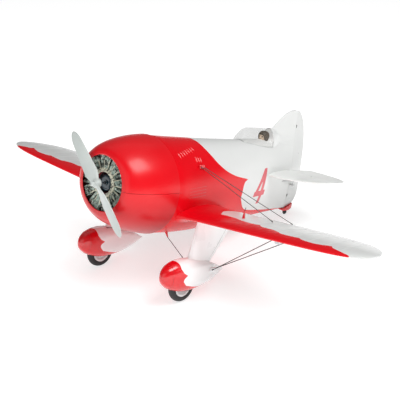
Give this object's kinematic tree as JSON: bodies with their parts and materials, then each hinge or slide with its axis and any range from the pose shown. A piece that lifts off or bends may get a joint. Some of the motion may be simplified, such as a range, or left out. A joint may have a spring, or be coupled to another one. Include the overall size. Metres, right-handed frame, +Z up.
{
  "type": "radio-controlled model racing monoplane",
  "caption": "Wire-braced low-wing model racing plane with a fat round body, spatted wheels, working controls, spinning propeller and a lift-off upper cowl.",
  "frame": {"origin": "on the ground under the middle of the overall box, with the plane standing on its three wheels", "axes": "+X to the pilot's left along the span, nose towards -Y, +Z up"},
  "size_m": [0.5092, 0.3558, 0.1695],
  "materials": {
    "body_paint": "white paint on moulded foam with red scallops",
    "cowl_paint": "glossy red paint on moulded foam",
    "wing_paint": "red and white scalloped paint on moulded foam",
    "tail_paint": "white paint on moulded foam with a red edge",
    "red_paint": "glossy red plastic",
    "leg_paint": "white paint",
    "pant_paint": "red and white scalloped paint",
    "clear_canopy": "thin clear plastic",
    "pilot_paint": "painted plastic",
    "engine_paint": "painted moulded plastic",
    "motor_metal": "machined",
    "motor_can": "dark anodised",
    "prop_plastic": "light grey moulded plastic",
    "dark_plastic": "black moulded plastic",
    "steel": "drawn steel wire",
    "wire": "thin dark wire",
    "carbon": "carbon rod",
    "tyre": "black foam rubber",
    "hub_plastic": "white moulded plastic",
    "plywood": "light plywood",
    "circuit_board": "green solder mask",
    "battery_wrap": "shrink wrap"
  },
  "bodies": {
    "airframe": {"fuselage_shell": "body_paint", "cowl_lower": "cowl_paint", "dummy_engine": "engine_paint", "motor_mount": "plywood", "motor_stator": "motor_metal", "equipment_tray": "plywood", "battery": "battery_wrap", "flight_board": "circuit_board", "rudder_servo": "dark_plastic", "elevator_servo": "dark_plastic", "wing_left": "wing_paint", "wing_right": "wing_paint", "wing_joiner": "carbon", "aileron_pin_left": "steel", "aileron_pin_right": "steel", "aileron_servo_left": "dark_plastic", "aileron_servo_right": "dark_plastic", "stabilizer": "tail_paint", "rudder_pin": "steel", "canopy": "clear_canopy", "pilot_figure": "pilot_paint", "cockpit_floor": "dark_plastic", "gear_leg_left": "leg_paint", "gear_leg_right": "leg_paint", "wheel_pant_left": "pant_paint", "wheel_pant_right": "pant_paint", "wheel_axle_left": "steel", "wheel_axle_right": "steel", "upper_wires_left": "wire", "upper_wires_right": "wire", "lower_wires_left": "wire", "lower_wires_right": "wire", "belly_wire_left": "wire", "belly_wire_right": "wire", "belly_post_left": "red_paint", "belly_post_right": "red_paint", "wing_post_left": "red_paint", "wing_post_right": "red_paint"},
    "propeller": {"motor_bell": "motor_can", "prop_shaft": "steel", "propeller": "prop_plastic", "prop_nut": "prop_plastic"},
    "wheel_left": {"tyre_left": "tyre", "hub_left": "hub_plastic"},
    "wheel_right": {"tyre_right": "tyre", "hub_right": "hub_plastic"},
    "rudder": {"rudder": "tail_paint", "tail_fairing": "red_paint", "tailwheel_axle": "steel"},
    "tailwheel": {"tailwheel": "tyre"},
    "elevator": {"elevator_left": "tail_paint", "elevator_right": "tail_paint", "elevator_joiner": "steel"},
    "aileron_left": {"aileron_left": "wing_paint"},
    "aileron_right": {"aileron_right": "wing_paint"},
    "hatch": {"cowl_hatch": "cowl_paint"},
    "rudder_link": {"rudder_pushrod": "steel"},
    "elevator_link": {"elevator_pushrod": "steel"},
    "aileron_link_left": {"aileron_pushrod_left": "steel"},
    "aileron_link_right": {"aileron_pushrod_right": "steel"}
  },
  "joints": [
    {"name": "prop_spin", "type": "hinge", "parent": "airframe", "child": "propeller", "pos_m": [0, -0.16909, 0.12657], "axis": [0, 0.9806, -0.1961], "continuous": true},
    {"name": "left_wheel_spin", "type": "hinge", "parent": "airframe", "child": "wheel_left", "pos_m": [0.0622, -0.11572, 0.0172], "axis": [1, 0, 0], "continuous": true},
    {"name": "right_wheel_spin", "type": "hinge", "parent": "airframe", "child": "wheel_right", "pos_m": [-0.0622, -0.11572, 0.0172], "axis": [1, 0, 0], "continuous": true},
    {"name": "rudder_hinge", "type": "hinge", "parent": "airframe", "child": "rudder", "pos_m": [0, 0.14813, 0.06314], "axis": [0, 0.1961, 0.9806], "range_deg": [-25, 25]},
    {"name": "tailwheel_spin", "type": "hinge", "parent": "rudder", "child": "tailwheel", "pos_m": [0, 0.14344, 0.0035], "axis": [1, 0, 0], "continuous": true},
    {"name": "elevator_hinge", "type": "hinge", "parent": "airframe", "child": "elevator", "pos_m": [0, 0.13332, 0.06304], "axis": [1, 0, 0], "range_deg": [-20, 20]},
    {"name": "aileron_left_hinge", "type": "hinge", "parent": "airframe", "child": "aileron_left", "pos_m": [0.142, -0.04021, 0.07879], "axis": [0.9979, 0.0128, 0.0638], "range_deg": [-20, 20]},
    {"name": "aileron_right_hinge", "type": "hinge", "parent": "airframe", "child": "aileron_right", "pos_m": [-0.142, -0.04021, 0.07879], "axis": [0.9979, -0.0128, -0.0638], "range_deg": [-20, 20]},
    {"name": "hatch_lift", "type": "slide", "parent": "airframe", "child": "hatch", "axis": [0, 0.1961, 0.9806], "range_m": [0, 0.08]},
    {"name": "rudder_link_slide", "type": "slide", "parent": "airframe", "child": "rudder_link", "axis": [0.0173, 0.9799, -0.1988], "range_m": [-0.0047, 0.0047]},
    {"name": "elevator_link_slide", "type": "slide", "parent": "airframe", "child": "elevator_link", "axis": [-0.0729, 0.981, -0.1797], "range_m": [-0.0036, 0.0036]},
    {"name": "aileron_left_link_slide", "type": "slide", "parent": "airframe", "child": "aileron_link_left", "axis": [0, 0.9806, -0.1961], "range_m": [-0.0029, 0.0029]},
    {"name": "aileron_right_link_slide", "type": "slide", "parent": "airframe", "child": "aileron_link_right", "axis": [0, 0.9806, -0.1961], "range_m": [-0.0029, 0.0029]}
  ],
  "couplings": [
    {"joint": "rudder_link_slide", "follows": "rudder_hinge", "m_per_rad": 0.0105},
    {"joint": "elevator_link_slide", "follows": "elevator_hinge", "m_per_rad": 0.01},
    {"joint": "aileron_left_link_slide", "follows": "aileron_left_hinge", "m_per_rad": 0.008},
    {"joint": "aileron_right_hinge", "follows": "aileron_left_hinge", "ratio": -1},
    {"joint": "aileron_right_link_slide", "follows": "aileron_left_hinge", "m_per_rad": -0.008}
  ]
}
